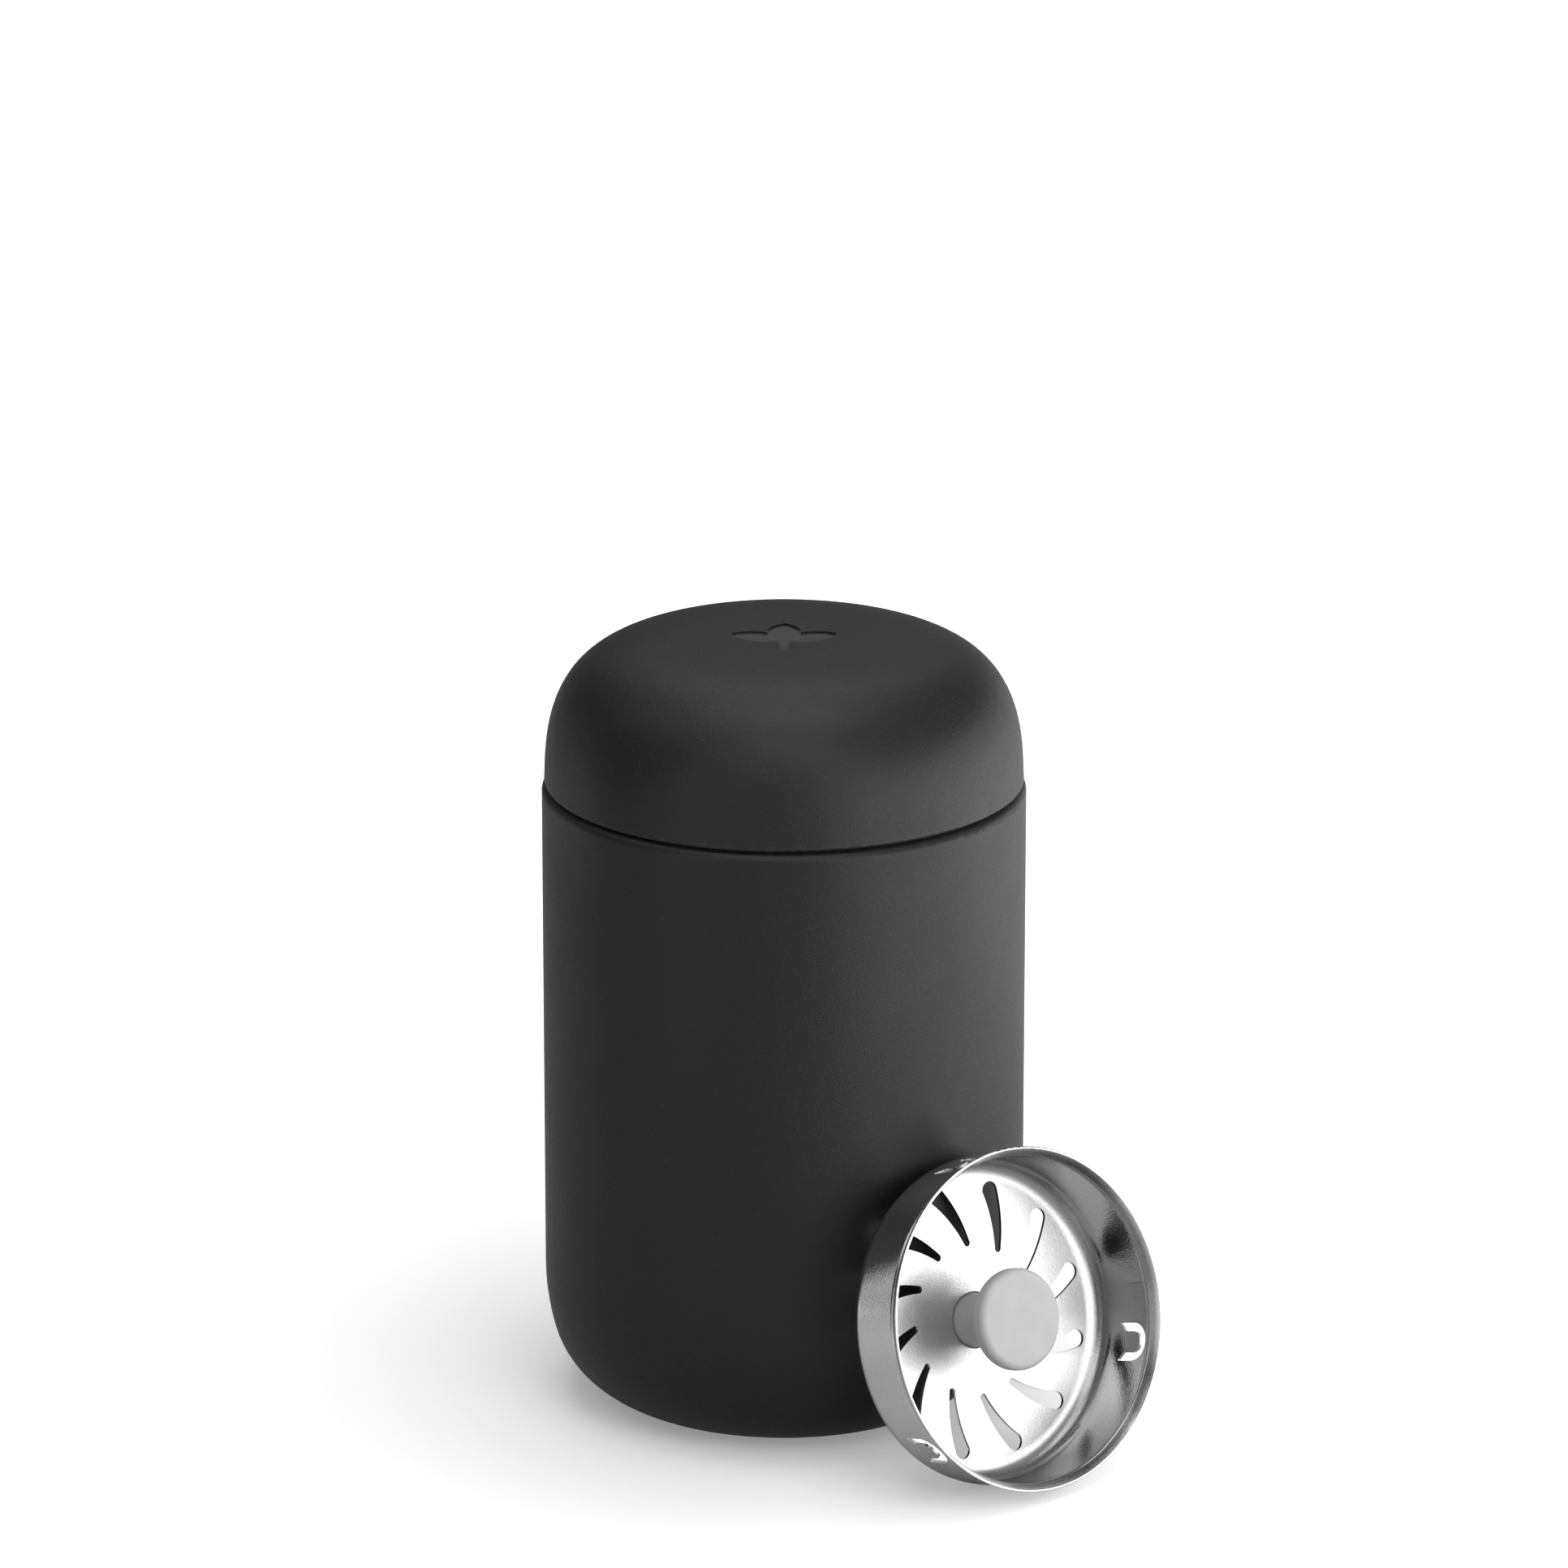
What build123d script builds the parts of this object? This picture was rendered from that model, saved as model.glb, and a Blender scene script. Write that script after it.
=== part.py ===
from build123d import *
import os
from math import cos, pi, radians, sin, tan

# Round-bottomed vacuum travel mug with a screw-on domed lid, and its loose snap-in strainer,
# which stands on the table and leans on the mug. Millimetres, +Z up, origin at the middle of
# the mug's foot on the table. -Y is the front, and the strainer is at the front right.

# ---- mug: outer form ----
MUG_R = 39.0                 # outer radius of the straight wall
FOOT_H = 0.4                 # how far the foot pad stands below the steel
BASE_Z = FOOT_H              # height of the steel's flat underside
CORNER_R1 = 40.06            # large arc that leaves the wall
CORNER_R2 = 15.31            # small arc that meets the underside
CORNER_TURN = 14.85          # degrees that the large arc turns
SHOULDER_Z = 103.8           # flat shoulder below the lid
SHOULDER_FILLET = 1.4
SHELL_T = 0.6                # sheet thickness of the outer shell
LIP_Z = 117.9                # top of the drinking lip
NECK_R = 30.2                # outside of the neck, at the root of its thread
NECK_FILLET = 1.0
LIP_H = 0.8                  # height of the lip that closes the double wall

# ---- mug: liner and what the vacuum space holds ----
LINER_T = 0.4
LINER_INSET = 2.6            # outer shell's outside to liner's outside
LINER_LIFT = 2.4             # extra room under the liner
LINER_SHOULDER_DROP = 2.0    # outer shoulder to the liner's outside
LINER_SHOULDER_R = 9.0
MOUTH_R = 26.9               # inside of the neck
SEAT_R = 27.9                # recess in the mouth that takes the strainer's lip
SEAT_H = 2.6
FOIL_T = 0.15
FOIL_GAP = 0.02
FOIL_Z = (24.0, 94.0)
UNDERSIDE_R = 21.6           # radius of the weld between shell and base cap
CAP_RECESS = 1.2
CAP_LAND = 1.0               # width of the base cap's rim
PAD_R = 20.2
PAD_EDGE = 0.3
DIMPLE_R = 2.2
GETTER_R, GETTER_T = 4.0, 1.4
GETTER_X = 11.0
CLIP_T = 0.3

# ---- screw thread of neck and lid ----
STARTS = 2
LEAD = 8.0                   # rise for one turn
THREAD_DEPTH = 1.1
THREAD_ROOT_W, THREAD_CREST_W = 1.9, 1.1
THREAD_BURY = 0.25           # how far the ridge reaches into its wall
THREAD_GAP = 0.35            # crest to root, radially
THREAD_Z = (108.0, 114.5)    # first and last height of the neck ridge's middle

# ---- lid ----
LID_Z = 104.18               # lower edge of the skirt
LID_R = 38.61
LID_KNEE_Z = 106.31          # where the skirt turns into the dome
LID_TOP_Z = 127.79
LID_DRAFT = 2.14             # degrees that the skirt leans in
DOME_POWER_R, DOME_POWER_Z = 5.05, 2.54
DOME_POINTS = 14
LID_EDGE_R = 0.4
COVER_T = 1.6
LINER_CAP_T = 1.5            # wall of the threaded inner cap
LINER_CAP_TOP_Z = 121.0
LINER_CAP_BEVEL = 2.3        # bevel round the inner cap's top, under the dome's curve
LINER_CAP_UNDER_Z = 118.4
FLANGE_H = 1.6
FLANGE_GAP = 0.05
FOAM_GAP = 0.1
GASKET_RI, GASKET_RO = 26.2, 31.2
GASKET_LIFT = 0.05           # clearance over the lip
GASKET_T = 1.5
# sprig motif pressed into the dome's top
MOTIF_DEPTH = 0.4
MOTIF_Y = -1.5               # where the leaves meet
LEAF_L, LEAF_HALF_W = 9.2, 2.7
LEAF_TURNS = (-66, 0, 66)
STEM_L, STEM_W = 6.0, 1.5

# ---- strainer: in its own frame the open rim is at z = 0 and the cup hangs below ----
CUP_T = 0.5
RIM_R = 27.55                # outside of the lip
LIP_ROUND = 0.2              # rounding of the lip's two edges
RIM_H = 1.5                  # height of the flared rim band
RIM_LOW_R = 26.75            # where the band meets the snap groove
GROOVE_R = 26.45
GROOVE_STEP = 0.35           # height of each flank of the groove
SWELL_R = 0.8                # outer bend radius above and below the groove
GROOVE_BEND_R = 0.1          # outer bend radius in the groove
WALL_TOP_R = 26.6
WALL_LOW_R = 26.25
CUP_DEPTH = 14.1             # outside, at the corner
CUP_CORNER_R = 3.6
DISH = 0.5                   # how much deeper the middle of the disc is
SLOT_COUNT = 12
SLOT_IN = (12.4, 0.6, 53.8)  # distance from the middle, end radius, angle in degrees
SLOT_OUT = (20.9, 1.5, 68.4)
SLOT_BOW = 0.5
TONGUE_ANGLES = (98.6, 218.6, 338.6)
TONGUE_W, TONGUE_SLIT = 6.2, 1.4
TONGUE_TOP, TONGUE_ROOT = 2.5, 8.55
TONGUE_SLANT = 1.25          # how much further a leg's outer side runs
TONGUE_OUTER_R, TONGUE_INNER_R, TONGUE_SHARP_R = 2.9, 1.6, 0.15
TONGUE_OVERLAP = 0.4
TONGUE_BEND = 2.5            # degrees that a tongue leans out
KNOB_HOLE_R = 4.6
KNOB_STEM_R = 4.3
KNOB_HEAD_R = 8.15
KNOB_FRONT, KNOB_BACK = -2.1, -5.1
KNOB_EDGE = 1.1
KNOB_FLARE = 1.0
KNOB_BARB_R, KNOB_BARB_T = 5.6, 1.1
# where the strainer stands
LEAN = 17.15                 # degrees that its axis points up
HEADING = 39.98              # degrees from the front towards the right
SIDE_SHIFT = 1.2             # sideways, along its own horizontal direction
MUG_GAP = 0.12               # clearance to the mug it leans on
TABLE_GAP = 0.02


def turned(face):
    """Revolves a face drawn in radius and height about the vertical axis."""
    return revolve(Plane.XZ * face, Axis.Z)


def ring(inner, outer, low, high):
    """A face of a plain ring, drawn in radius and height."""
    return make_face(Polyline((inner, low), (outer, low), (outer, high), (inner, high), close=True))


def corner(inset, lift):
    """The two tangent arcs of the mug's round corner, and the points where they start and end."""
    turn = radians(CORNER_TURN)
    small_x = MUG_R - CORNER_R1 + (CORNER_R1 - CORNER_R2) * cos(turn)
    small_z = BASE_Z + lift + CORNER_R2
    large_z = small_z + (CORNER_R1 - CORNER_R2) * sin(turn)
    large = CenterArc((MUG_R - CORNER_R1, large_z), CORNER_R1 - inset, 0, -CORNER_TURN)
    small = CenterArc((small_x, small_z), CORNER_R2 - inset, -CORNER_TURN, CORNER_TURN - 90)
    return large, small


def ridge(root_r, inward, z_first, z_last):
    """All starts of a right-hand thread, each a trapezoid swept along a helix."""
    sign = -1 if inward else 1
    base = root_r - sign * THREAD_BURY
    crest = root_r + sign * THREAD_DEPTH
    path = Helix(LEAD, z_last - z_first, base)
    at_start = Plane(origin=path @ 0, x_dir=(1, 0, 0), z_dir=path % 0)
    half_root, half_crest = THREAD_ROOT_W / 2, THREAD_CREST_W / 2
    outline = Polyline(
        (0, -half_root),
        (crest - base, -half_crest),
        (crest - base, half_crest),
        (0, half_root),
        close=True,
    )
    one = sweep(at_start * make_face(outline), path=path, is_frenet=True)
    one = Pos(0, 0, z_first) * one
    return [Rot(0, 0, 360 / STARTS * start) * one for start in range(STARTS)]


# ---- mug ----
def outer_shell():
    """Painted steel shell: round foot, straight wall, shoulder and threaded neck."""
    outer_large, outer_small = corner(0, 0)
    inner_large, inner_small = corner(SHELL_T, 0)
    top_r = MUG_R - SHOULDER_FILLET
    neck_in = NECK_R - SHELL_T
    inner_fillet = SHOULDER_FILLET - SHELL_T
    low_shoulder = SHOULDER_Z - SHELL_T
    neck_out_fillet = NECK_FILLET
    neck_in_fillet = NECK_FILLET + SHELL_T
    neck_top = LIP_Z - LIP_H
    outline = [
        outer_large,
        outer_small,
        Line(outer_small @ 1, (UNDERSIDE_R, BASE_Z)),
        Line((UNDERSIDE_R, BASE_Z), (UNDERSIDE_R, BASE_Z + SHELL_T)),
        Line((UNDERSIDE_R, BASE_Z + SHELL_T), inner_small @ 1),
        inner_small,
        inner_large,
        Line(inner_large @ 0, (MUG_R - SHELL_T, SHOULDER_Z - SHOULDER_FILLET)),
        CenterArc((top_r, SHOULDER_Z - SHOULDER_FILLET), inner_fillet, 0, 90),
        Line((top_r, low_shoulder), (NECK_R + NECK_FILLET, low_shoulder)),
        CenterArc((NECK_R + NECK_FILLET, SHOULDER_Z + NECK_FILLET), neck_in_fillet, 180, 90),
        Line((neck_in, SHOULDER_Z + NECK_FILLET), (neck_in, neck_top)),
        Line((neck_in, neck_top), (NECK_R, neck_top)),
        Line((NECK_R, neck_top), (NECK_R, SHOULDER_Z + NECK_FILLET)),
        CenterArc((NECK_R + NECK_FILLET, SHOULDER_Z + NECK_FILLET), neck_out_fillet, 180, 90),
        Line((NECK_R + NECK_FILLET, SHOULDER_Z), (top_r, SHOULDER_Z)),
        CenterArc((top_r, SHOULDER_Z - SHOULDER_FILLET), SHOULDER_FILLET, 0, 90),
        Line((MUG_R, SHOULDER_Z - SHOULDER_FILLET), outer_large @ 0),
    ]
    shell = turned(make_face(outline))
    return shell + ridge(NECK_R, False, *THREAD_Z)


def inner_liner():
    """Drawn steel liner whose lip rolls over the neck and closes the double wall."""
    outer_large, outer_small = corner(LINER_INSET, LINER_LIFT)
    inner_large, inner_small = corner(LINER_INSET + LINER_T, LINER_LIFT)
    out_r = MUG_R - LINER_INSET
    in_r = out_r - LINER_T
    bend_z = SHOULDER_Z - LINER_SHOULDER_DROP - LINER_SHOULDER_R
    bend_r = out_r - LINER_SHOULDER_R
    neck_out = MOUTH_R + LINER_T
    top_out_z = SHOULDER_Z - LINER_SHOULDER_DROP
    seat_z = LIP_Z - SEAT_H
    lip_low = LIP_Z - LIP_H
    half_lip = LIP_H / 2
    outline = [
        outer_large,
        outer_small,
        Line(outer_small @ 1, (0, (outer_small @ 1).Y)),
        Line((0, (outer_small @ 1).Y), (0, (inner_small @ 1).Y)),
        Line((0, (inner_small @ 1).Y), inner_small @ 1),
        inner_small,
        inner_large,
        Line(inner_large @ 0, (in_r, bend_z)),
        CenterArc((bend_r, bend_z), LINER_SHOULDER_R - LINER_T, 0, 90),
        Polyline(
            (bend_r, top_out_z - LINER_T),
            (MOUTH_R, top_out_z - LINER_T),
            (MOUTH_R, seat_z),
            (SEAT_R, seat_z),
            (SEAT_R, LIP_Z - half_lip),
        ),
        CenterArc((SEAT_R + half_lip, LIP_Z - half_lip), half_lip, 180, -90),
        Line((SEAT_R + half_lip, LIP_Z), (NECK_R - half_lip, LIP_Z)),
        CenterArc((NECK_R - half_lip, LIP_Z - half_lip), half_lip, 90, -90),
        Polyline(
            (NECK_R, LIP_Z - half_lip),
            (NECK_R, lip_low),
            (SEAT_R + LINER_T, lip_low),
            (SEAT_R + LINER_T, seat_z - LINER_T),
            (neck_out, seat_z - LINER_T),
            (neck_out, top_out_z),
            (bend_r, top_out_z),
        ),
        CenterArc((bend_r, bend_z), LINER_SHOULDER_R, 0, 90),
        Line((out_r, bend_z), outer_large @ 0),
    ]
    return turned(make_face(outline))


def copper_foil():
    """Thin radiation shield wrapped round the liner inside the vacuum."""
    inside = MUG_R - LINER_INSET + FOIL_GAP
    return turned(ring(inside, inside + FOIL_T, *FOIL_Z))


def base_cap():
    """Welded steel pan that closes the shell's underside, with the dimple it was pumped through."""
    step_r = UNDERSIDE_R - CAP_LAND
    high = BASE_Z + CAP_RECESS
    outline = Polyline(
        (DIMPLE_R, high),
        (step_r, high),
        (step_r, BASE_Z),
        (UNDERSIDE_R, BASE_Z),
        (UNDERSIDE_R, BASE_Z + SHELL_T),
        (step_r + SHELL_T, BASE_Z + SHELL_T),
        (step_r + SHELL_T, high + SHELL_T),
        (DIMPLE_R, high + SHELL_T),
        close=True,
    )
    return turned(make_face(outline))


def seal_bead():
    """Glass bead that closes the pumping hole."""
    high = BASE_Z + CAP_RECESS
    return turned(ring(0, DIMPLE_R, high, high + SHELL_T))


def base_pad():
    """Silicone foot disc in the base cap's recess."""
    high = BASE_Z + CAP_RECESS
    disc = Polyline((0, 0), (PAD_R - PAD_EDGE, 0), (PAD_R, PAD_EDGE), (PAD_R, high), (0, high), close=True)
    return turned(make_face(disc))


def getter():
    """Gas-absorbing pellet on the base cap."""
    low = BASE_Z + CAP_RECESS + SHELL_T
    return Pos(GETTER_X, 0, 0) * turned(ring(0, GETTER_R, low, low + GETTER_T))


def getter_clip():
    """Sheet cup spot-welded over the pellet."""
    low = BASE_Z + CAP_RECESS + SHELL_T
    top = low + GETTER_T
    outline = Polyline(
        (GETTER_R, low),
        (GETTER_R + 1.5, low),
        (GETTER_R + 1.5, low + CLIP_T),
        (GETTER_R + CLIP_T, low + CLIP_T),
        (GETTER_R + CLIP_T, top + CLIP_T),
        (GETTER_R - 1.5, top + CLIP_T),
        (GETTER_R - 1.5, top),
        (GETTER_R, top),
        close=True,
    )
    return Pos(GETTER_X, 0, 0) * turned(make_face(outline))


# ---- lid ----
def dome_points(inset):
    """Points of the dome from the knee to the top, set in by the given thickness."""
    lean = tan(radians(LID_DRAFT))
    knee_r = LID_R - (LID_KNEE_Z - LID_Z) * lean - inset
    rise = LID_TOP_Z - LID_KNEE_Z - inset
    points = []
    for step in range(DOME_POINTS + 1):
        angle = pi / 2 * step / DOME_POINTS
        height = rise * sin(angle) ** (2 / DOME_POWER_Z)
        radius = (knee_r - height * lean) * cos(angle) ** (2 / DOME_POWER_R)
        points.append((max(radius, 0), LID_KNEE_Z + height))
    points[-1] = (0, LID_KNEE_Z + rise)
    return points


def dome_face(inset, low):
    """The whole region under a dome, down to the given height."""
    points = dome_points(inset)
    lean = tan(radians(LID_DRAFT))
    low_r = points[0][0] + (LID_KNEE_Z - low) * lean
    curve = Spline(*points, tangents=((-lean, 1), (-1, 0)))
    rest = Polyline(points[-1], (0, low), (low_r, low), points[0])
    return make_face([curve, rest])


def sprig():
    """Outline of the motif: a short stem with three pointed leaves."""
    left = ThreePointArc((0, 0), (LEAF_HALF_W, LEAF_L / 2), (0, LEAF_L))
    right = ThreePointArc((0, LEAF_L), (-LEAF_HALF_W, LEAF_L / 2), (0, 0))
    leaf = make_face([left, right])
    outline = Pos(0, (STEM_W - STEM_L) / 2) * SlotOverall(STEM_L, STEM_W, rotation=90)
    for turn in LEAF_TURNS:
        outline += Rot(0, 0, turn) * leaf
    return outline


def lid_cover():
    """Dome of the lid, with the sprig motif pressed into its top."""
    outside = turned(dome_face(0, LID_Z))
    inside = turned(dome_face(COVER_T, LID_Z))
    cover = outside - inside
    rim = cover.edges().filter_by(GeomType.CIRCLE).group_by(Axis.Z)[0].sort_by(SortBy.RADIUS)[-1]
    cover = fillet(rim, LID_EDGE_R)
    cover -= extrude(Pos(0, MOTIF_Y, LID_TOP_Z - MOTIF_DEPTH) * sprig(), 2 * MOTIF_DEPTH)
    return cover


def lid_liner():
    """Threaded inner cap that screws onto the neck and carries the gasket."""
    root_r = NECK_R + THREAD_DEPTH + THREAD_GAP
    wall_r = root_r + LINER_CAP_T
    lean = tan(radians(LID_DRAFT))
    low = LID_Z + LID_EDGE_R
    inside_r = LID_R - COVER_T - FLANGE_GAP - (FLANGE_H + LID_EDGE_R) * lean
    gasket_top = LIP_Z + GASKET_LIFT + GASKET_T
    outline = Polyline(
        (0, LINER_CAP_UNDER_Z),
        (GASKET_RI, LINER_CAP_UNDER_Z),
        (GASKET_RI, gasket_top),
        (GASKET_RO, gasket_top),
        (GASKET_RO, LINER_CAP_UNDER_Z),
        (root_r, LINER_CAP_UNDER_Z),
        (root_r, low),
        (inside_r, low),
        (inside_r, low + FLANGE_H),
        (wall_r, low + FLANGE_H),
        (wall_r, LINER_CAP_TOP_Z - LINER_CAP_BEVEL),
        (wall_r - LINER_CAP_BEVEL, LINER_CAP_TOP_Z),
        (0, LINER_CAP_TOP_Z),
        close=True,
    )
    cap = turned(make_face(outline))
    half_pitch = LEAD / STARTS / 2
    return cap + ridge(root_r, True, THREAD_Z[0] - half_pitch, THREAD_Z[1] - half_pitch)


def lid_foam():
    """Foam plug that fills the space between the lid's two shells."""
    wall_r = NECK_R + THREAD_DEPTH + THREAD_GAP + LINER_CAP_T + FOAM_GAP
    flange_top = LID_Z + LID_EDGE_R + FLANGE_H + FOAM_GAP
    top = LINER_CAP_TOP_Z + FOAM_GAP
    dome = turned(dome_face(COVER_T + FOAM_GAP, flange_top))
    room = Polyline(
        (0, 0),
        (wall_r, 0),
        (wall_r, top - LINER_CAP_BEVEL),
        (wall_r - LINER_CAP_BEVEL, top),
        (0, top),
        close=True,
    )
    return dome - turned(make_face(room))


def lid_gasket():
    """Silicone ring that seals on the lip."""
    low = LIP_Z + GASKET_LIFT
    return turned(ring(GASKET_RI, GASKET_RO, low, low + GASKET_T))


# ---- strainer ----
def strainer_place():
    """Frame of the strainer: it stands on its lower edge and leans its upper edge on the mug."""
    lean = radians(LEAN)
    heading = radians(HEADING)
    reach = WALL_LOW_R - CUP_CORNER_R
    depth = CUP_DEPTH - CUP_CORNER_R
    out = MUG_R + MUG_GAP + CUP_CORNER_R + reach * sin(lean) + depth * cos(lean)
    up = TABLE_GAP + CUP_CORNER_R + reach * cos(lean) + depth * sin(lean)
    forward = Vector(sin(heading), -cos(heading), 0)
    sideways = Vector(cos(heading), sin(heading), 0)
    middle = forward * out + sideways * SIDE_SHIFT + Vector(0, 0, up)
    normal = forward * cos(lean) + Vector(0, 0, sin(lean))
    return Plane(origin=middle, x_dir=sideways, z_dir=normal).location


def cup_outline(inset):
    """Points and edges of the cup's wall and floor, from the rim to the axis."""
    low = -CUP_DEPTH + inset
    corner_z = -CUP_DEPTH + CUP_CORNER_R
    floor_r = WALL_LOW_R - CUP_CORNER_R
    groove_z = -RIM_H - GROOVE_STEP
    rim = FilletPolyline(
        (RIM_R - inset, 0),
        (RIM_LOW_R - inset, -RIM_H),
        (GROOVE_R - inset, groove_z),
        (WALL_TOP_R - inset, groove_z - GROOVE_STEP),
        (WALL_LOW_R - inset, corner_z),
        radius=[SWELL_R - inset, GROOVE_BEND_R + inset, SWELL_R - inset],
    )
    bend = CenterArc((floor_r, corner_z), CUP_CORNER_R - inset, 0, -90)
    dish = ThreePointArc(
        (floor_r, low),
        (floor_r / 2, low - DISH * 3 / 4),
        (0, low - DISH),
    )
    return rim, bend, dish


def slot_face(turn):
    """One curved teardrop slot through the disc."""
    in_r, in_end, in_angle = SLOT_IN
    out_r, out_end, out_angle = SLOT_OUT
    start = Vector(in_r, 0, 0).rotate(Axis.Z, in_angle + turn)
    finish = Vector(out_r, 0, 0).rotate(Axis.Z, out_angle + turn)
    along = (finish - start).normalized()
    across = along.rotate(Axis.Z, 90)
    middle = (start + finish) * 0.5 - across * SLOT_BOW
    mid_end = (in_end + out_end) / 2
    left = ThreePointArc(start + across * in_end, middle + across * mid_end, finish + across * out_end)
    right = ThreePointArc(finish - across * out_end, middle - across * mid_end, start - across * in_end)
    tip = ThreePointArc(finish + across * out_end, finish + along * out_end, finish - across * out_end)
    tail = ThreePointArc(start - across * in_end, start - along * in_end, start + across * in_end)
    return make_face([left, tip, right, tail])


def tongue_window():
    """The opening that one tongue is cut free from, as a block through the wall at angle zero."""
    half, blade = TONGUE_W / 2, TONGUE_W / 2 - TONGUE_SLIT
    inner_root = TONGUE_ROOT - TONGUE_SLANT
    outline = FilletPolyline(
        (-half, -TONGUE_ROOT),
        (-half, -TONGUE_TOP),
        (half, -TONGUE_TOP),
        (half, -TONGUE_ROOT),
        (blade, -inner_root),
        (-blade, -inner_root),
        radius=[TONGUE_SHARP_R, TONGUE_OUTER_R, TONGUE_OUTER_R] + [TONGUE_SHARP_R] * 3,
        close=True,
    )
    return through_wall(make_face(outline))


def tongue_blade():
    """The tongue's own outline with its round free end, as a block through the wall."""
    blade = TONGUE_W / 2 - TONGUE_SLIT
    low = TONGUE_ROOT - TONGUE_SLANT + TONGUE_OVERLAP
    top = TONGUE_TOP + TONGUE_SLIT
    outline = FilletPolyline(
        (-blade, -low),
        (-blade, -top),
        (blade, -top),
        (blade, -low),
        radius=TONGUE_INNER_R,
    )
    return through_wall(make_face([outline, Line(outline @ 1, outline @ 0)]))


def through_wall(face):
    """Extrudes a face drawn across and up into a block that passes the wall at angle zero."""
    return extrude(Plane.YZ.offset(WALL_LOW_R - 2) * face, 4)


def guard_cup():
    """Sheet-steel strainer cup: rim band, wall with three spring tongues, slotted disc."""
    outer = cup_outline(0)
    inner = cup_outline(CUP_T)
    rim_end = Line((RIM_R - CUP_T, 0), (RIM_R, 0))
    axis_end = Line((0, -CUP_DEPTH - DISH), (0, -CUP_DEPTH - DISH + CUP_T))
    cup = turned(make_face([*outer, *inner, rim_end, axis_end]))
    cup = fillet(cup.edges().group_by(Axis.Z)[-1], LIP_ROUND)
    window = tongue_window()
    bend_z = TONGUE_SLANT - TONGUE_ROOT - TONGUE_OVERLAP / 2
    blade = (cup & tongue_blade()).rotate(Axis((WALL_LOW_R, 0, bend_z), (0, 1, 0)), TONGUE_BEND)
    for angle in TONGUE_ANGLES:
        cup -= Rot(0, 0, angle) * window
        cup += Rot(0, 0, angle) * blade
    for count in range(SLOT_COUNT):
        slot = Pos(0, 0, -CUP_DEPTH - 2) * slot_face(360 / SLOT_COUNT * count)
        cup -= extrude(slot, 4)
    cup -= Pos(0, 0, -CUP_DEPTH) * Cylinder(KNOB_HOLE_R, 4)
    return strainer_place() * cup


def guard_knob():
    """Silicone pull knob: head and stem in front of the disc, barb behind it."""
    sheet_front = -CUP_DEPTH - DISH + CUP_T
    sheet_back = -CUP_DEPTH - DISH
    head_in = KNOB_HEAD_R - KNOB_EDGE
    outline = [
        Line((0, KNOB_FRONT), (head_in, KNOB_FRONT)),
        CenterArc((head_in, KNOB_FRONT - KNOB_EDGE), KNOB_EDGE, 90, -90),
        Line((KNOB_HEAD_R, KNOB_FRONT - KNOB_EDGE), (KNOB_HEAD_R, KNOB_BACK + KNOB_EDGE)),
        CenterArc((head_in, KNOB_BACK + KNOB_EDGE), KNOB_EDGE, 0, -90),
        Line((head_in, KNOB_BACK), (KNOB_STEM_R + KNOB_FLARE, KNOB_BACK)),
        CenterArc((KNOB_STEM_R + KNOB_FLARE, KNOB_BACK - KNOB_FLARE), KNOB_FLARE, 90, 90),
        Polyline(
            (KNOB_STEM_R, KNOB_BACK - KNOB_FLARE),
            (KNOB_STEM_R, sheet_back),
            (KNOB_BARB_R, sheet_back),
            (KNOB_BARB_R - 0.6, sheet_back - KNOB_BARB_T),
            (0, sheet_back - KNOB_BARB_T),
            (0, KNOB_FRONT),
        ),
    ]
    return strainer_place() * turned(make_face(outline))


PARTS = {
    "outer_shell": outer_shell,
    "base_cap": base_cap,
    "seal_bead": seal_bead,
    "base_pad": base_pad,
    "inner_liner": inner_liner,
    "copper_foil": copper_foil,
    "getter": getter,
    "getter_clip": getter_clip,
    "lid_cover": lid_cover,
    "lid_liner": lid_liner,
    "lid_foam": lid_foam,
    "lid_gasket": lid_gasket,
    "guard_cup": guard_cup,
    "guard_knob": guard_knob,
}

os.makedirs("parts", exist_ok=True)
for name, build in PARTS.items():
    export_step(build(), f"parts/{name}.step")
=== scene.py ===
from math import cos, radians, sin

import bpy
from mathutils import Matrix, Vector


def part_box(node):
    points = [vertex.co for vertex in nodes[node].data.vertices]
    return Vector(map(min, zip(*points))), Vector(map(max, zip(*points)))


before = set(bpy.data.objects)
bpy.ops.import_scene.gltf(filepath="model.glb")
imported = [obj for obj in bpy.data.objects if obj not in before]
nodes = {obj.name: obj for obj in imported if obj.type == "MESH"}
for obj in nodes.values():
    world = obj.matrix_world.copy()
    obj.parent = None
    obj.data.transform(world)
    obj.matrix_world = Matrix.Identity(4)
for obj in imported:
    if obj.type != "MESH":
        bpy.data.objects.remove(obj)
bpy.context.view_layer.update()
scene = bpy.context.scene

# ---- floor and world: reflectance, and brightness of light that the paper gives off itself ----
FLOOR_SIZE = 12
FLOOR_TONE = 0.9                # as the camera sees it
FLOOR_BOUNCE = 0.5              # as it lights the object, like studio paper whitened afterwards
FLOOR_GLOW = (0.24, 1.0)        # painted glow, near the object and away from it
FLOOR_GLOW_AT = (0.04, 0.30)    # distances from the mug's axis for those two
AMBIENT = 0.0434

# ---- camera ----
CAMERA_AT = (0, -1.3273, 0.52766)
CAMERA_PITCH = radians(17.737)  # below the horizon
CAMERA_LENS = 198.9

# ---- strainer ----
GUARD_LEAN, GUARD_HEADING = radians(17.15), radians(39.98)
DISC_ROUGH, WALL_ROUGH = 0.34, 0.11
FLAT_ON = (0.2, 0.95)           # facing along the axis: from wall to disc
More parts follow.
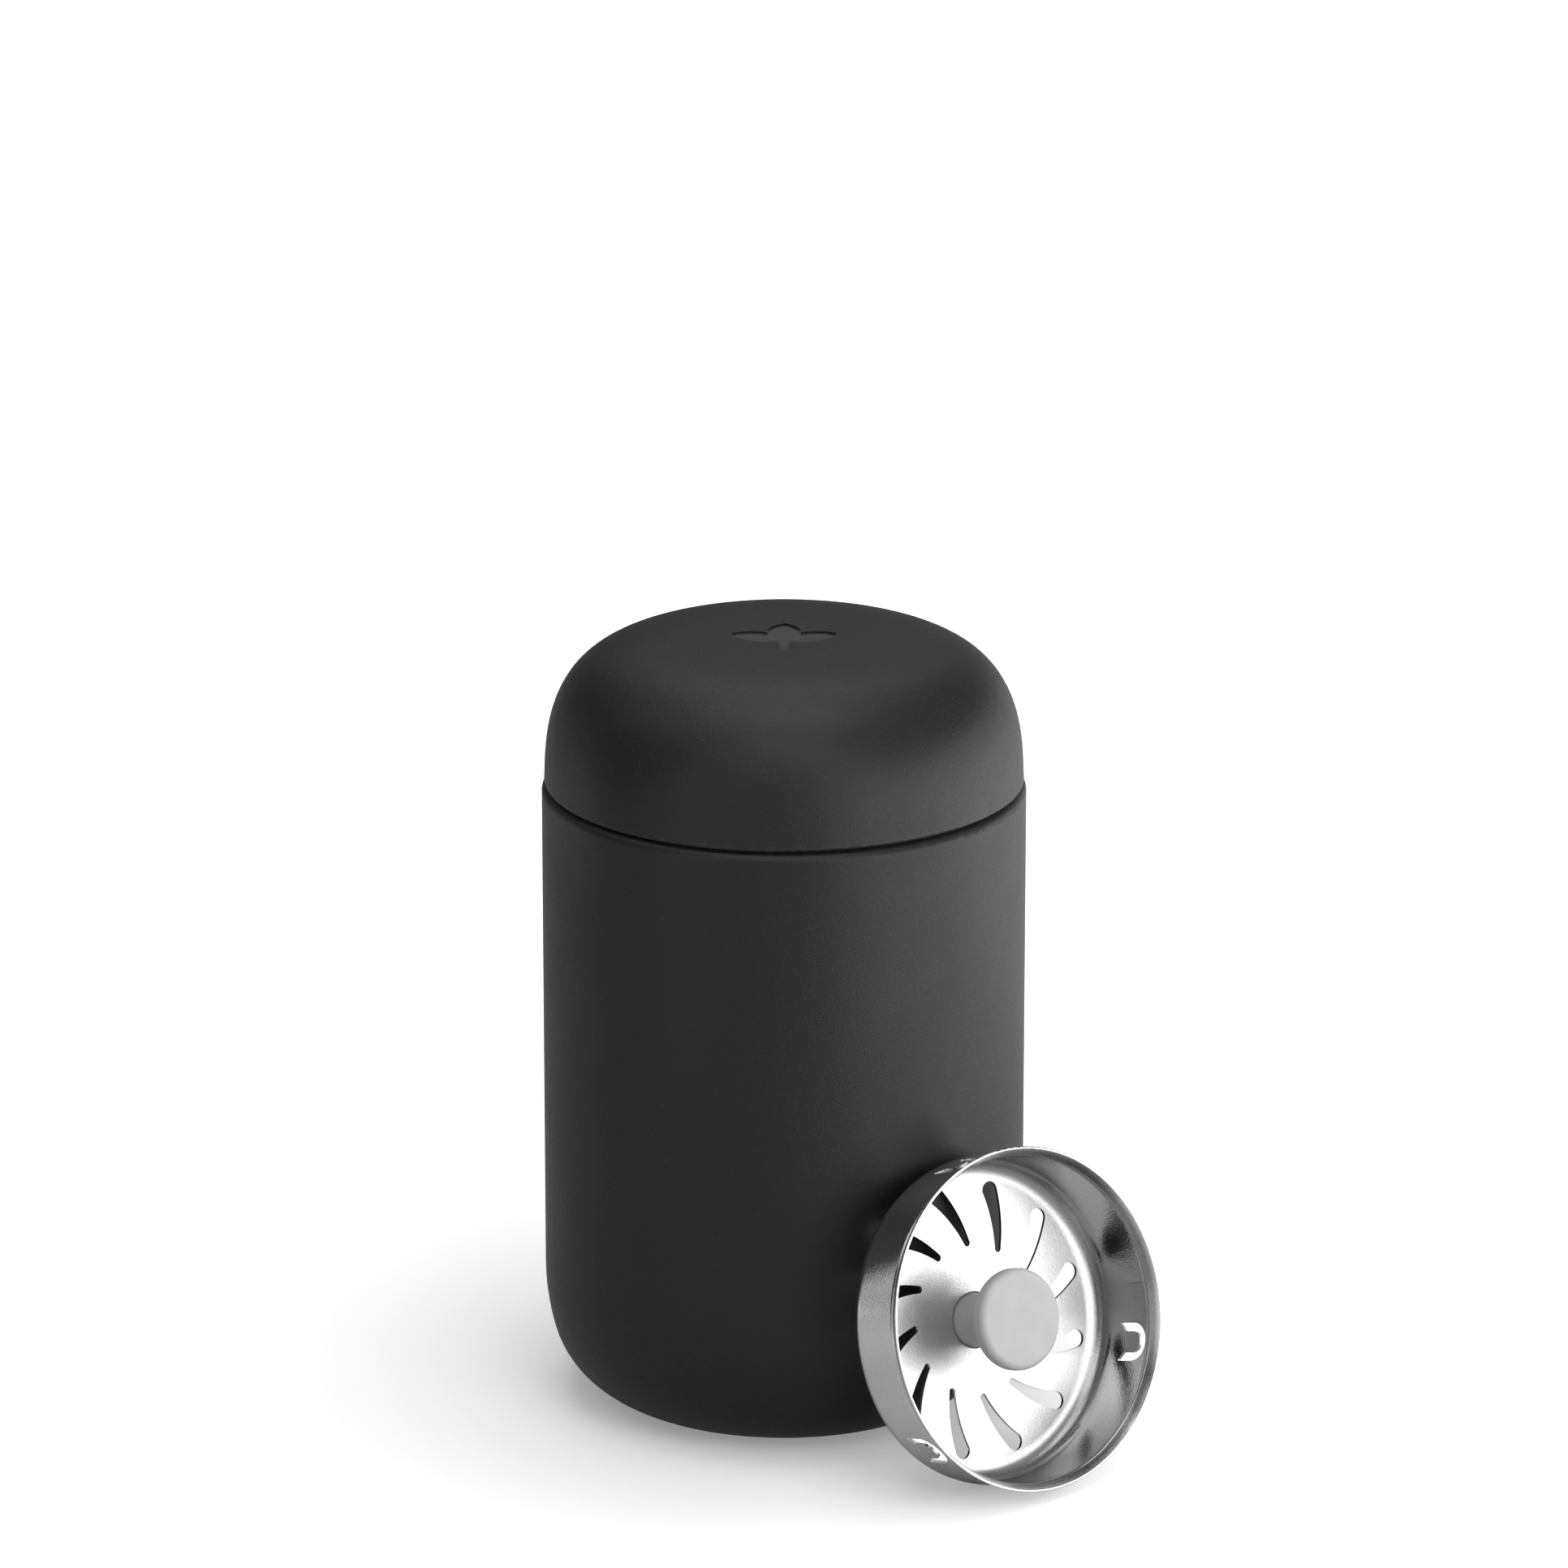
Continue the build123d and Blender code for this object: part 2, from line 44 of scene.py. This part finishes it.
# how far a spot faces along the strainer's axis, and its tone there, painted light and shade by that
# facing: wall, darker drawn corner, brighter disc
FACING_PAINTED_TONES = ((0.1, 0.50), (0.45, 0.33), (0.88, 0.36), (0.985, 0.67))
# painted light: extra tone where the wall faces away from the knob
OUTER_WALL_PAINTED_LIGHT = 0.45
OUTWARD_AT = (-0.01, 0.01)      # metres that a wall faces away from the knob: inner side, outer side
# painted highlight: extra tone on the band at the rim
RIM_PAINTED_HIGHLIGHT = 0.5
RIM_PAINTED_HIGHLIGHT_AT = (0.0064, 0.0072)  # distance along the axis in front of the knob's middle
BRIGHTEST = 0.95                # no tone goes past it

# ---- noises (scale, detail, roughness) and bumps (distance, strength) of the materials ----
PEEL, PEEL_BUMP = (2700, 3, 0.6), (0.00008, 0.6)
CLOUD = (45, 3, 0.55)
SCUFF, SCUFF_AT = (420, 6, 0.7), (0.62, 0.74)
SEAM_PATCH_NOISE, SEAM_PATCH_AT = (700, 4, 0.6), (0.45, 0.65)
STEEL_GRAIN, STEEL_BUMP = (3600, 3, 0.6), (0.00002, 0.6)
STEEL_HAZE = (160, 3, 0.6)
STRAINER_GRAIN, STRAINER_BUMP = (2600, 3, 0.6), (0.00004, 0.7)
SOFT_GRAIN, SOFT_BUMP = (3200, 2, 0.5), (0.00003, 0.5)
SOFT_HAZE = (220, 2, 0.5)
MIDDLE = (0.3, 0.7)             # the part of a noise's range that most of it fills
NARROW = (0.35, 0.65)

# ---- painted parts ----
BODY_TONE, LID_TONE = 0.006, 0.0065
PRESSED_DEPTH = 0.0004          # of the motif's floor below the top of the lid
PRESSED_SLACK = 0.0001
PRESSED_REACH = 0.013           # from the axis to beyond the motif
# painted sheen: the motif's floor is given a lighter tone than the coat around it
PRESSED_SHEEN_TONE = 0.045
SEAM_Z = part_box("lid_cover")[0][2]
LID_TOP_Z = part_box("lid_cover")[1][2]
SEAM_FADE = (0.0004, 0.0014)    # distances from the seam between which its lighter patches fade out

# ---- lights ----
# kind: distance from the mug's axis, height of the middle, (width, height), height it faces
PANELS = {
    "card": (0.24, 0.081, (0.11, 0.16), 0.081),
    "side": (0.60, 0.31, (0.42, 0.60), 0.31),
    "high": (0.70, 0.85, (0.70, 0.50), 0.06),
    "top": (0.0, 1.10, (0.80, 0.80), 0.0),
}
# kind: {azimuth: watts}
LIGHTS = {
    "card": {40: 0.0355, 65: 0.089, 90: 0.158, 115: 0.128, 140: 0.100, 230: 0.0225, 290: 0.0185},
    "side": {150: 0.99, 210: 0.55},
    "high": {0: 1.23, 90: 0.50, 180: 2.17, 270: 0.74},
    "top": {0: 4.14},
}


# ---- node helpers ----
MIX_FIRST, MIX_SECOND, MIX_RESULT = 6, 7, 2     # the mix node's sockets for colours


def grey(tone):
    return (tone,) * 3


class Graph:
    """A new material and short ways to add its nodes."""

    def __init__(self, name):
        self.material = bpy.data.materials.new(name)
        self.material.use_nodes = True
        self.tree = self.material.node_tree
        self.shader = self.tree.nodes["Principled BSDF"]

    def add(self, kind, **settings):
        node = self.tree.nodes.new(kind)
        for key, value in settings.items():
            setattr(node, key, value)
        return node

    def link(self, source, target):
        self.tree.links.new(source, target)

    def set(self, **values):
        """Sets the shader's own sockets; an underscore stands for a space in a socket's name."""
        for key, value in values.items():
            self.shader.inputs[key.replace("_", " ")].default_value = value

    def place(self):
        return self.add("ShaderNodeTexCoord").outputs["Object"]

    def height(self):
        spot = self.add("ShaderNodeSeparateXYZ")
        self.link(self.place(), spot.inputs[0])
        return spot.outputs["Z"]

    def noise(self, scale, detail, rough):
        node = self.add("ShaderNodeTexNoise")
        node.inputs["Scale"].default_value = scale
        node.inputs["Detail"].default_value = detail
        node.inputs["Roughness"].default_value = rough
        self.link(self.place(), node.inputs["Vector"])
        return node.outputs["Fac"]

    def vector(self, operation, first, second, output):
        node = self.add("ShaderNodeVectorMath", operation=operation)
        self.link(first, node.inputs[0])
        if hasattr(second, "links"):
            self.link(second, node.inputs[1])
        else:
            node.inputs[1].default_value = second
        return node.outputs[output]

    def length(self, source):
        node = self.add("ShaderNodeVectorMath", operation="LENGTH")
        self.link(source, node.inputs[0])
        return node.outputs["Value"]

    def math(self, operation, first, *rest):
        node = self.add("ShaderNodeMath", operation=operation)
        self.link(first, node.inputs[0])
        for socket, value in zip(node.inputs[1:], rest):
            if isinstance(value, (int, float)):
                socket.default_value = value
            else:
                self.link(value, socket)
        return node.outputs["Value"]

    def ramp(self, source, low, high, at=(0.0, 1.0)):
        """The source's range given by at, mapped to low and high."""
        node = self.add("ShaderNodeMapRange")
        for socket, value in zip(("From Min", "From Max", "To Min", "To Max"), (*at, low, high)):
            node.inputs[socket].default_value = value
        self.link(source, node.inputs["Value"])
        return node.outputs["Result"]

    def steps(self, source, stops):
        """A value that follows the given pairs of position and value."""
        node = self.add("ShaderNodeValToRGB")
        elements = node.color_ramp.elements
        for _ in stops[2:]:
            elements.new(0.5)
        for element, (position, value) in zip(elements, stops):
            element.position = position
            element.color = (*grey(value), 1)
        self.link(source, node.inputs["Fac"])
        return node.outputs["Color"]

    def colours(self, source, dark, light, at=MIDDLE):
        node = self.add("ShaderNodeValToRGB")
        stops = node.color_ramp.elements
        stops[0].position, stops[1].position = at
        stops[0].color, stops[1].color = (*dark, 1), (*light, 1)
        self.link(source, node.inputs["Fac"])
        return node.outputs["Color"]

    def mix(self, share, first, second):
        """The first colour, a socket, turned into the second, a plain colour, by the share."""
        node = self.add("ShaderNodeMix", data_type="RGBA")
        self.link(share, node.inputs["Factor"])
        self.link(first, node.inputs[MIX_FIRST])
        node.inputs[MIX_SECOND].default_value = (*second, 1)
        return node.outputs[MIX_RESULT]

    def bump(self, height, distance, strength):
        node = self.add("ShaderNodeBump")
        node.inputs["Distance"].default_value = distance
        node.inputs["Strength"].default_value = strength
        self.link(height, node.inputs["Height"])
        return node.outputs["Normal"]

    def seam(self):
        """1 at the seam between lid and body, falling to 0 beside it."""
        away = self.math("ABSOLUTE", self.math("SUBTRACT", self.height(), SEAM_Z))
        return self.ramp(away, 1.0, 0.0, SEAM_FADE)

    def pressed(self, height):
        """1 on the floor of the lid's pressed motif, 0 elsewhere."""
        low = self.math("COMPARE", self.height(), height, PRESSED_SLACK)
        level = self.vector("MULTIPLY", self.place(), (1, 1, 0), "Vector")
        near = self.math("LESS_THAN", self.length(level), PRESSED_REACH)
        return self.math("MULTIPLY", low, near)


def wear(obj, material):
    """Gives the object this one material."""
    obj.data.materials.clear()
    obj.data.materials.append(material)


# ---- materials ----
def powder_coat(name, tone, pressed_z=None):
    """Fine orange-peel coat, with faint scuffs, faint lighter patches along the seam between lid and
    body, and painted sheen on the pressed motif's floor where its height is given.
    """
    g = Graph(name)
    peel = g.noise(*PEEL)
    cloud = g.noise(*CLOUD)
    scuff = g.ramp(g.noise(*SCUFF), 0.0, 1.0, SCUFF_AT)
    shade = g.colours(peel, grey(tone * 0.7), (tone * 1.3, tone * 1.3, tone * 1.33))
    colour = g.mix(scuff, shade, grey(tone * 2.2))
    # lighter patches along the seam between lid and body
    seam_patches = g.math("MULTIPLY", g.seam(), g.ramp(g.noise(*SEAM_PATCH_NOISE), 0.0, 1.0, SEAM_PATCH_AT))
    colour = g.mix(seam_patches, colour, grey(tone * 2.5))
    if pressed_z is not None:
        # painted sheen on the floor of the pressed motif
        colour = g.mix(g.pressed(pressed_z), colour, grey(PRESSED_SHEEN_TONE))
    g.link(colour, g.shader.inputs["Base Color"])
    rough = g.math("ADD", g.ramp(cloud, 0.45, 0.53, MIDDLE), g.ramp(peel, -0.05, 0.05, NARROW))
    g.link(rough, g.shader.inputs["Roughness"])
    g.link(g.bump(peel, *PEEL_BUMP), g.shader.inputs["Normal"])
    g.set(Specular_IOR_Level=0.45, Sheen_Weight=0.1, Sheen_Roughness=0.35)
    return g.material


def steel(name, rough, tone, tint=grey(1.0)):
    """Plain sheet metal of one tone and tint, a little uneven."""
    g = Graph(name)
    grain = g.noise(*STEEL_GRAIN)
    haze = g.noise(*STEEL_HAZE)
    dark, light = ([part * tone * share for part in tint] for share in (0.97, 1.03))
    g.link(g.colours(haze, dark, light), g.shader.inputs["Base Color"])
    g.link(g.ramp(haze, rough * 0.8, rough * 1.2, MIDDLE), g.shader.inputs["Roughness"])
    g.link(g.bump(grain, *STEEL_BUMP), g.shader.inputs["Normal"])
    g.set(Metallic=1.0)
    return g.material


def strainer_steel(name):
    """Polished walls and a duller disc, told apart by how they face the strainer's axis; that facing
    also sets a tone of painted light and shade, with painted light on the outer wall and a painted
    highlight at the rim.
    """
    g = Graph(name)
    axis = (sin(GUARD_HEADING) * cos(GUARD_LEAN), -cos(GUARD_HEADING) * cos(GUARD_LEAN), sin(GUARD_LEAN))
    middle = [(low + high) / 2 for low, high in zip(*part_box("guard_knob"))]
    normal = g.add("ShaderNodeNewGeometry").outputs["Normal"]
    facing = g.vector("DOT_PRODUCT", normal, axis, "Value")
    spot = g.vector("SUBTRACT", g.place(), middle, "Vector")
    outward = g.vector("DOT_PRODUCT", normal, spot, "Value")
    forward = g.vector("DOT_PRODUCT", spot, axis, "Value")
    flat_on = g.math("ABSOLUTE", facing)
    # painted light and shade: the tone follows how far a spot faces along the axis
    facing_painted_tone = g.steps(flat_on, FACING_PAINTED_TONES)
    # painted light on the outer side of the wall
    outer_painted_light = g.ramp(outward, 0.0, OUTER_WALL_PAINTED_LIGHT, OUTWARD_AT)
    wall = g.math("ADD", facing_painted_tone, g.math("MULTIPLY", outer_painted_light, g.ramp(flat_on, 1.0, 0.0)))
    # painted highlight on the band at the rim
    rim_painted_highlight = g.ramp(forward, 0.0, RIM_PAINTED_HIGHLIGHT, RIM_PAINTED_HIGHLIGHT_AT)
    tone = g.math("MINIMUM", g.math("ADD", wall, rim_painted_highlight), BRIGHTEST)
    haze = g.ramp(g.noise(*STEEL_HAZE), 0.85, 1.15, MIDDLE)
    grain = g.noise(*STRAINER_GRAIN)
    rough = g.ramp(flat_on, WALL_ROUGH, DISC_ROUGH, FLAT_ON)
    g.link(g.math("MULTIPLY", rough, haze), g.shader.inputs["Roughness"])
    g.link(g.math("MULTIPLY", tone, g.ramp(grain, 0.92, 1.08, MIDDLE)), g.shader.inputs["Base Color"])
    g.link(g.bump(grain, *STRAINER_BUMP), g.shader.inputs["Normal"])
    g.set(Metallic=1.0)
    return g.material


def soft_rubber(name, tone, rough):
    """Any matte moulded part: silicone, plastic, foam or fused glass."""
    g = Graph(name)
    grain = g.noise(*SOFT_GRAIN)
    haze = g.noise(*SOFT_HAZE)
    g.link(g.colours(haze, grey(tone * 0.96), grey(tone * 1.04)), g.shader.inputs["Base Color"])
    g.link(g.ramp(grain, rough - 0.04, rough + 0.06, MIDDLE), g.shader.inputs["Roughness"])
    g.link(g.bump(grain, *SOFT_BUMP), g.shader.inputs["Normal"])
    return g.material


# ---- stage ----
def camera():
    data = bpy.data.cameras.new("camera")
    data.lens = CAMERA_LENS
    data.sensor_width = 36.0
    data.clip_end = 20
    cam = bpy.data.objects.new("camera", data)
    cam.location = CAMERA_AT
    cam.rotation_euler = (radians(90) - CAMERA_PITCH, 0, 0)
    scene.collection.objects.link(cam)
    scene.camera = cam


def panel(name, kind, azimuth, watts):
    """One light panel of a kind; azimuth 0 is behind the object, 90 at its right, 180 at the front."""
    distance, height, size, aim_height = PANELS[kind]
    turn = radians(azimuth)
    data = bpy.data.lights.new(name, "AREA")
    data.shape = "RECTANGLE"
    data.size, data.size_y = size
    data.energy = watts
    lamp = bpy.data.objects.new(name, data)
    lamp.location = (distance * sin(turn), distance * cos(turn), height)
    aim = Vector((0, 0, aim_height)) - lamp.location
    lamp.rotation_euler = aim.to_track_quat("-Z", "Y").to_euler()
    lamp.visible_camera = False
    scene.collection.objects.link(lamp)


def floor():
    """Paper with painted light: it glows, less near the mug's axis than away from it, and is brighter to
    the camera than it is as a light source.
    """
    bpy.ops.mesh.primitive_plane_add(size=FLOOR_SIZE, location=(0, 0, 0))
    plane = bpy.context.object
    plane.name = "floor"
    g = Graph("floor_paper")
    g.set(Roughness=0.85, Specular_IOR_Level=0.2)
    seen = g.add("ShaderNodeLightPath").outputs["Is Camera Ray"]
    g.link(g.colours(seen, grey(FLOOR_BOUNCE), grey(FLOOR_TONE), (0, 1)), g.shader.inputs["Base Color"])
    # painted light: the paper's glow grows with distance from the mug's axis
    glow = g.ramp(g.length(g.place()), *FLOOR_GLOW, FLOOR_GLOW_AT)
    g.set(Emission_Color=(1, 1, 1, 1))
    g.link(g.math("MULTIPLY", glow, seen), g.shader.inputs["Emission Strength"])
    wear(plane, g.material)


def studio():
    world = bpy.data.worlds.new("studio")
    world.use_nodes = True
    world.node_tree.nodes["Background"].inputs["Color"].default_value = (1, 1, 1, 1)
    world.node_tree.nodes["Background"].inputs["Strength"].default_value = AMBIENT
    scene.world = world
    scene.view_settings.view_transform = "Standard"
    for kind, lights in LIGHTS.items():
        for azimuth, watts in lights.items():
            panel(f"{kind}_{azimuth}", kind, azimuth, watts)


camera()
floor()
studio()

MATERIALS = {
    "outer_shell": powder_coat("powder_coat_body", BODY_TONE),
    "base_cap": steel("base_steel", 0.3, 0.6),
    "seal_bead": soft_rubber("bead_glass", 0.3, 0.2),
    "base_pad": soft_rubber("pad_silicone", 0.02, 0.6),
    "inner_liner": steel("liner_steel", 0.28, 0.62),
    "copper_foil": steel("foil_copper", 0.35, 0.8, (1.0, 0.55, 0.38)),
    "getter": steel("getter_alloy", 0.6, 0.2),
    "getter_clip": steel("clip_steel", 0.3, 0.6),
    "lid_cover": powder_coat("lid_shell", LID_TONE, LID_TOP_Z - PRESSED_DEPTH),
    "lid_liner": soft_rubber("cap_plastic", 0.03, 0.4),
    "lid_foam": soft_rubber("foam", 0.7, 0.8),
    "lid_gasket": soft_rubber("gasket_silicone", 0.4, 0.5),
    "guard_cup": strainer_steel("strainer_steel"),
    "guard_knob": soft_rubber("knob_silicone", 0.41, 0.5),
}
for node_name, material in MATERIALS.items():
    wear(nodes[node_name], material)
